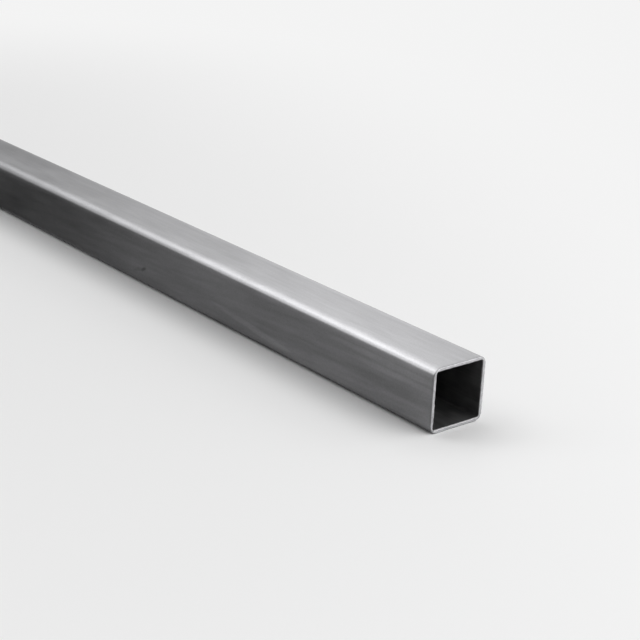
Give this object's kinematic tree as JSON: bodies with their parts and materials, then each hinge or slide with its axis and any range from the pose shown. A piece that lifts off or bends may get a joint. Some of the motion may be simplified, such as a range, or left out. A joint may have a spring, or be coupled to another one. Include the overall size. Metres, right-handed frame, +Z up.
{
  "type": "square metal tube",
  "caption": "Straight cut length of bare welded steel square tube with rolled corners, open at both saw-cut ends.",
  "frame": {"origin": "middle of the bottom side's outer face, half way along the length", "axes": "+X along the length, +Z up out of the top side, so the four sides face +Y, -Y, +Z and -Z; the weld seam is in the -Y wall"},
  "size_m": [1, 0.05, 0.05],
  "materials": {
    "steel": "bare mill-finish steel, satin, with fine lengthwise rolling streaks, brighter fresh metal on the two saw cuts"
  },
  "bodies": {
    "root": {"square_tube": "steel"}
  },
  "joints": []
}
